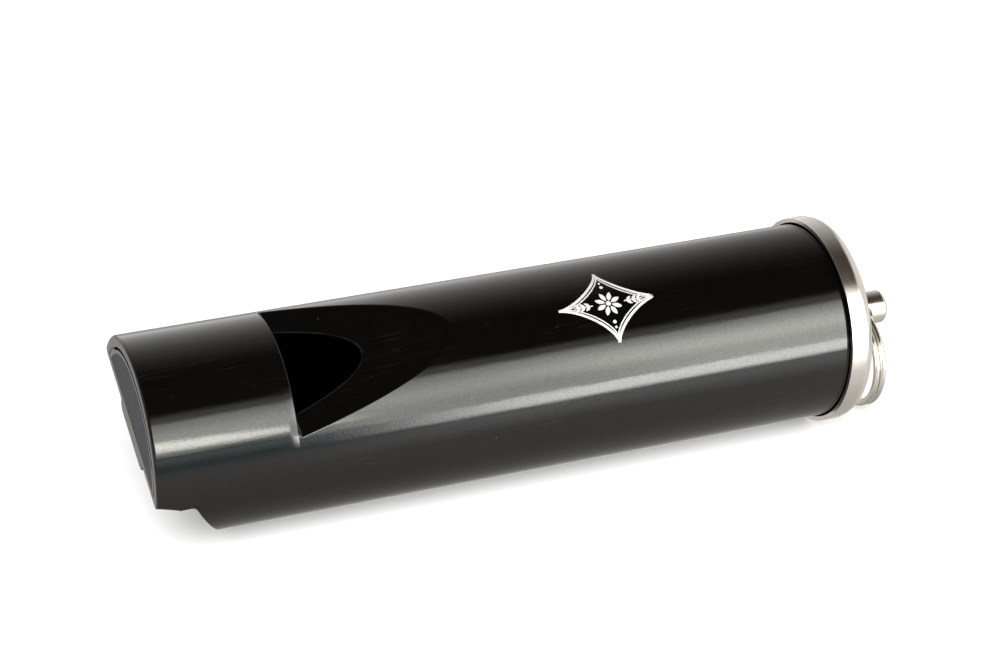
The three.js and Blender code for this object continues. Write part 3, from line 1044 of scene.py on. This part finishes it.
def fipple_plug():
    start = math.pi / 2 - WINDWAY_HALF_ANGLE
    end = math.pi / 2 + WINDWAY_HALF_ANGLE
    crown = arc(PLUG_BORE - WINDWAY_HEIGHT, start, end, CROWN_STEPS)
    land = arc(PLUG_BORE - PLUG_GAP, end, start + 2 * math.pi, CIRCLE_STEPS)
    body = turned_back(prism(crown + land, lengthways, PLUG_RECESS, WINDOW_EDGE))
    seat = beak_block(
        -BEAK_WALL, BEAK_WALL_LENGTH + SEAT_GAP,
        -PLUG_BORE - BEAK_WALL, BEAK_HEIGHT + BEAK_WALL + PLUG_GAP,
    )
    body = combined(body, seat, "DIFFERENCE")
    body = combined(body, beak_cut(), "DIFFERENCE")
    mesh = shaded(softened(body, PLUG_EDGE, CREASE, seams_only=False))
    piece(
        "fipple_block", mesh, FIXED_FRAME, PLUG_BLACK, "call", "fipple_plug",
    )


def elbow(middle, across, along, start, end):
    """Part of an ellipse as corners of an outline."""
    turns = [start + (end - start) * i / FILLET_STEPS for i in range(FILLET_STEPS + 1)]
    return [(middle[0] + across * math.cos(t), middle[1] + along * math.sin(t), 0) for t in turns]


def end_cap():
    mouth = ROD_RADIUS + RUNNING_GAP
    inside = CAP_RADIUS - CAP_WALL
    bend = (CAP_RADIUS - CAP_CORNER, CAP_END - CAP_CROWN)
    lip = SKIRT_EDGE - CAP_LIP
    corners = [(inside - CAP_CURL, lip, CAP_HEM), (CAP_RADIUS, lip, CAP_HEM)]
    corners += elbow(bend, CAP_CORNER, CAP_CROWN, 0, math.pi / 2)
    corners += [(mouth, CAP_END, FINE_ROUND), (mouth, CAP_END - CAP_WALL, FINE_ROUND)]
    corners += elbow(bend, CAP_CORNER - CAP_WALL, CAP_CROWN - CAP_WALL, math.pi / 2, 0)
    corners += [(inside, lip + 2 * CAP_WALL, 0), (inside - CAP_CURL, lip + CAP_WALL, 0)]
    mesh = shaded(turned(outline(corners), BARREL_SEGMENTS))
    piece("cap_shell", mesh, FIXED_FRAME, CAP_NICKEL, "call", "end_cap")


def rod_guide():
    outer = BORE_RADIUS - PRESS_GAP
    inner = ROD_RADIUS + RUNNING_GAP
    pocket = FELT_RADIUS + SEAT_GAP
    ledge = BARREL_LENGTH - FELT_THICKNESS - SEAT_GAP
    profile = outline([
        (inner, GUIDE_START, GUIDE_ENTRY_ROUND),
        (outer, GUIDE_START, GUIDE_EDGE_ROUND),
        (outer, BARREL_LENGTH, SMALL_ROUND),
        (pocket, BARREL_LENGTH, SMALL_ROUND),
        (pocket, ledge, FINE_ROUND),
        (inner, ledge, SMALL_ROUND),
    ])
    mesh = shaded(turned(profile))
    piece("guide_bush", mesh, FIXED_FRAME, INNER_BLACK, "call", "rod_guide")


def felt_ring(name, inner, outer, start, end, place, body, node):
    """A felt ring with soft corners and an uneven, fibrous surface, within its solid."""
    middle = (start + end) / 2
    mesh = turned(outline([
        (inner, start, FELT_INNER_CORNER),
        (outer, start, FELT_CORNER),
        (outer, middle, 0),
        (outer, end, FELT_CORNER),
        (inner, end, FELT_INNER_CORNER),
        (inner, middle, 0),
    ]))
    for vertex, normal in zip(mesh.vertices, [v.normal.copy() for v in mesh.vertices]):
        sunk = FELT_SINK + FELT_LUMPS * noise.noise(vertex.co * FELT_LUMPS_PER_MM)
        sunk += FELT_FUZZ * noise.noise(vertex.co * FELT_FUZZ_PER_MM)
        vertex.co -= normal * max(sunk, 0.0)
    piece(name, shaded(mesh), place, FELT, body, node)


def piston_disc(name, start, node):
    profile = outline([
        (SPIGOT_RADIUS + PRESS_GAP, start, FINE_ROUND),
        (DISC_RADIUS, start, DISC_ROUND),
        (DISC_RADIUS, start + DISC_THICKNESS, DISC_ROUND),
        (SPIGOT_RADIUS + PRESS_GAP, start + DISC_THICKNESS, FINE_ROUND),
    ])
    mesh = shaded(turned(profile))
    piece(name, mesh, PLUNGER_FRAME, INNER_BLACK, "plunger", node)


def piston_nut():
    corner = NUT_FLATS / 2 / math.cos(math.pi / 6)
    end = NUT + NUT_THICKNESS
    hexagon = prism(arc(corner, 0, 2 * math.pi, 6)[:-1], lengthways, NUT, end)
    blank = turned(outline([
        (SPIGOT_RADIUS + PRESS_GAP, NUT, SMALL_ROUND),
        (NUT_FLATS / 2, NUT, 0),
        (corner + EPS, NUT + NUT_CHAMFER, 0),
        (corner + EPS, end - NUT_CHAMFER, 0),
        (NUT_FLATS / 2, end, 0),
        (SPIGOT_RADIUS + PRESS_GAP, end, SMALL_ROUND),
    ]))
    mesh = combined(hexagon, blank, "INTERSECT")
    mesh = shaded(softened(mesh, NUT_EDGE, NUT_CREASE, seams_only=False, segments=2))
    piece("piston_hex_nut", mesh, PLUNGER_FRAME, BRASS, "plunger", "piston_nut")


def plunger_rod():
    shoulder = BACK_DISC + DISC_THICKNESS + SEAT_GAP
    start = NUT - SPIGOT_PROUD
    profile = outline([
        (0, start, 0),
        (SPIGOT_RADIUS, start, SPIGOT_END_ROUND),
        (SPIGOT_RADIUS, shoulder, SPIGOT_ROOT_ROUND),
        (ROD_RADIUS, shoulder, SMALL_ROUND),
        (ROD_RADIUS, ROD_END, ROD_END_ROUND),
        (0, ROD_END, 0),
    ])
    circle = arc(HOLE_RADIUS, 0, 2 * math.pi, CIRCLE_STEPS)[:-1]
    hole = [spot + Vector((HOLE_PLACE, 0)) for spot in circle]
    drill = prism(hole, sideways, -2 * ROD_RADIUS, 2 * ROD_RADIUS)
    mesh = combined(turned(profile), drill, "DIFFERENCE")
    mesh = shaded(softened(mesh, FINE_ROUND, CREASE))
    piece("rod_bar", mesh, PLUNGER_FRAME, ROD_NICKEL, "plunger", "plunger_rod")


def ring_point(share):
    """The wire's middle line: nearly two turns side by side, hanging from the cross-hole."""
    radius = RING_RADIUS - RING_WIRE / 2
    bow = radius - math.sqrt(radius ** 2 - ROD_RADIUS ** 2)
    sweep = 4 * math.pi - RING_STEP_ANGLE - 2 * RING_END_GAP
    turn = RING_STEP_ANGLE / 2 + RING_END_GAP + share * sweep
    step = min(max((turn - 2 * math.pi) / RING_STEP_ANGLE + 0.5, 0), 1)
    side = (step * step * (3 - 2 * step) - 0.5) * RING_PITCH
    angle = RING_STEP_PLACE + turn
    middle = bow / 2 - radius
    outward = Vector((0, -math.sin(angle), math.cos(angle)))
    return Vector((HOLE_PLACE + side, 0, middle)) + outward * radius, outward


def split_ring():
    build = bmesh.new()
    rings = []
    turns = [2 * math.pi * k / RING_SIDES for k in range(RING_SIDES)]
    for i in range(RING_STEPS + 1):
        point, outward = ring_point(i / RING_STEPS)
        before, _ = ring_point(max(i - 1, 0) / RING_STEPS)
        after, _ = ring_point(min(i + 1, RING_STEPS) / RING_STEPS)
        along = (after - before).normalized()
        across = along.cross(outward).normalized()
        from_end = min(i, RING_STEPS - i, len(RING_END_TAPER) - 1)
        thick = RING_WIRE / 2 * RING_END_TAPER[from_end]
        rings.append([
            build.verts.new(point + (outward * math.cos(t) + across * math.sin(t)) * thick)
            for t in turns
        ])
    mesh = shaded(lofted(build, rings))
    piece("ring_coil", mesh, RING_FRAME, RING_NICKEL, "ring", "split_ring")


# Ornament printed on the barrel in white

PRINT_PLACE = 75.7
PRINT_TURN = math.radians(2.5)
PRINT_HALF_LENGTH = 8.5
PRINT_HALF_HEIGHT = 6.7
INK_PROUD = 0.014
INK_SUNK = 0.02
INK_WELD = 1e-4
INK_CREASE = math.radians(40)
FRAME_LINES = ((1.0, 0.42), (0.86, 0.2))
FRAME_BOW = 0.8
FRAME_STEPS = 28
PETALS = 8
PETAL_START = 0.55
PETAL_SIZE = (1.7, 0.75)
FLOWER_EYE = 0.42
STEM_START = 2.7
STEM_LENGTH = 3.2
STEM_WIDTH = 0.2
LEAF_PLACES = (3.1, 4.0, 4.8)
LEAF_LEAN = math.radians(38)
LEAF_SIZE = (1.15, 0.45)
LEAF_FULLNESS = 0.8
LEAF_STEPS = 14
BEADS = ((3.3, 0.3), (4.2, 0.2))
DOT_STEPS = 12


def stroke(build, points, widths, across=4):
    """One stroke of ink along flat points (along the barrel, round it), laid on the skin."""
    rows = []
    for i, point in enumerate(points):
        before = points[max(i - 1, 0)]
        after = points[min(i + 1, len(points) - 1)]
        along = (after - before).normalized()
        sideward = Vector((-along.y, along.x))
        rows.append([
            point + sideward * widths[i] * (2 * k / across - 1) / 2 for k in range(across + 1)
        ])
    layers = []
    for lift in (INK_PROUD, -INK_SUNK):
        layers.append([[on_skin(build, spot, lift) for spot in row] for row in rows])
    for top in layers:
        for first, second in zip(top, top[1:]):
            for k in range(across):
                build.faces.new((first[k], first[k + 1], second[k + 1], second[k]))
    top, bottom = layers
    rim = [(i, 0) for i in range(len(rows))]
    rim += [(len(rows) - 1, k) for k in range(1, across + 1)]
    rim += [(i, across) for i in range(len(rows) - 2, -1, -1)]
    rim += [(0, k) for k in range(across - 1, 0, -1)]
    for (i, k), (j, m) in zip(rim, rim[1:] + rim[:1]):
        build.faces.new((top[i][k], top[j][m], bottom[j][m], bottom[i][k]))


def on_skin(build, spot, lift):
    radius = skin_radius(PRINT_PLACE) + lift
    angle = PRINT_TURN + spot.y / skin_radius(PRINT_PLACE)
    return build.verts.new((
        PRINT_PLACE + spot.x, -radius * math.sin(angle), radius * math.cos(angle),
    ))


def curve(function, steps):
    return [Vector(function(i / steps)) for i in range(steps + 1)]


def frame_side(size, sign_x, sign_y):
    """One inward-bowed side of the lozenge, from its end to its top or bottom point."""
    def point(share):
        angle = share * math.pi / 2
        x = PRINT_HALF_LENGTH * size * (1 - math.sin(angle)) ** FRAME_BOW
        y = PRINT_HALF_HEIGHT * size * (1 - math.cos(angle)) ** FRAME_BOW
        return (sign_x * x, sign_y * y)
    return curve(point, FRAME_STEPS)


def leaf(build, start, angle, length, width):
    way = Vector((math.cos(angle), math.sin(angle)))
    points = curve(lambda share: start + way * length * share, LEAF_STEPS)
    bulge = [math.sin(math.pi * i / LEAF_STEPS) for i in range(LEAF_STEPS + 1)]
    stroke(build, points, [width * full ** LEAF_FULLNESS for full in bulge])


def dot(build, middle, radius):
    points = curve(lambda share: middle + Vector((radius * (2 * share - 1), 0)), DOT_STEPS)
    places = [2 * i / DOT_STEPS - 1 for i in range(DOT_STEPS + 1)]
    stroke(build, points, [2 * radius * math.sqrt(max(1 - u ** 2, 0)) for u in places])


def ornament():
    """A lozenge of two lines round a flower, with a spray of leaves on each side."""
    build = bmesh.new()
    for size, width in FRAME_LINES:
        for sign_x in (-1, 1):
            for sign_y in (-1, 1):
                side = frame_side(size, sign_x, sign_y)
                stroke(build, side, [width] * len(side), 2)
    centre = Vector((0, 0))
    for k in range(PETALS):
        angle = (k + 0.5) * 2 * math.pi / PETALS
        way = Vector((math.cos(angle), math.sin(angle)))
        leaf(build, centre + way * PETAL_START, angle, *PETAL_SIZE)
    dot(build, centre, FLOWER_EYE)
    for sign in (-1, 1):
        stem = curve(lambda share: (sign * (STEM_START + STEM_LENGTH * share), 0), DOT_STEPS)
        stroke(build, stem, [STEM_WIDTH] * len(stem), 2)
        outward = (1 - sign) * math.pi / 2
        for place in LEAF_PLACES:
            for lean in (-1, 1):
                start = Vector((sign * place, 0))
                leaf(build, start, outward + sign * lean * LEAF_LEAN, *LEAF_SIZE)
        for height, radius in BEADS:
            dot(build, Vector((0, sign * height)), radius)
    bmesh.ops.remove_doubles(build, verts=build.verts, dist=INK_WELD)
    bmesh.ops.dissolve_degenerate(build, edges=build.edges, dist=INK_WELD)
    mesh = mesh_from(build)
    mesh.shade_smooth()
    mesh.set_sharp_from_angle(angle=INK_CREASE)
    piece("barrel_print", mesh, FIXED_FRAME, INK, "call")


barrel()
fipple_plug()
end_cap()
rod_guide()
felt_ring(
    "guide_washer", ROD_RADIUS + RUNNING_GAP, FELT_RADIUS, BARREL_LENGTH - FELT_THICKNESS,
    BARREL_LENGTH, FIXED_FRAME, "call", "guide_felt",
)
felt_ring(
    "piston_felt", SPIGOT_RADIUS + RUNNING_GAP, BORE_RADIUS - RUNNING_GAP, SEAL,
    SEAL + SEAL_THICKNESS, PLUNGER_FRAME, "seal", "piston_seal",
)
piston_disc("piston_disc_front", FRONT_DISC, "piston_front")
piston_disc("piston_disc_back", BACK_DISC, "piston_back")
piston_nut()
plunger_rod()
split_ring()
ornament()
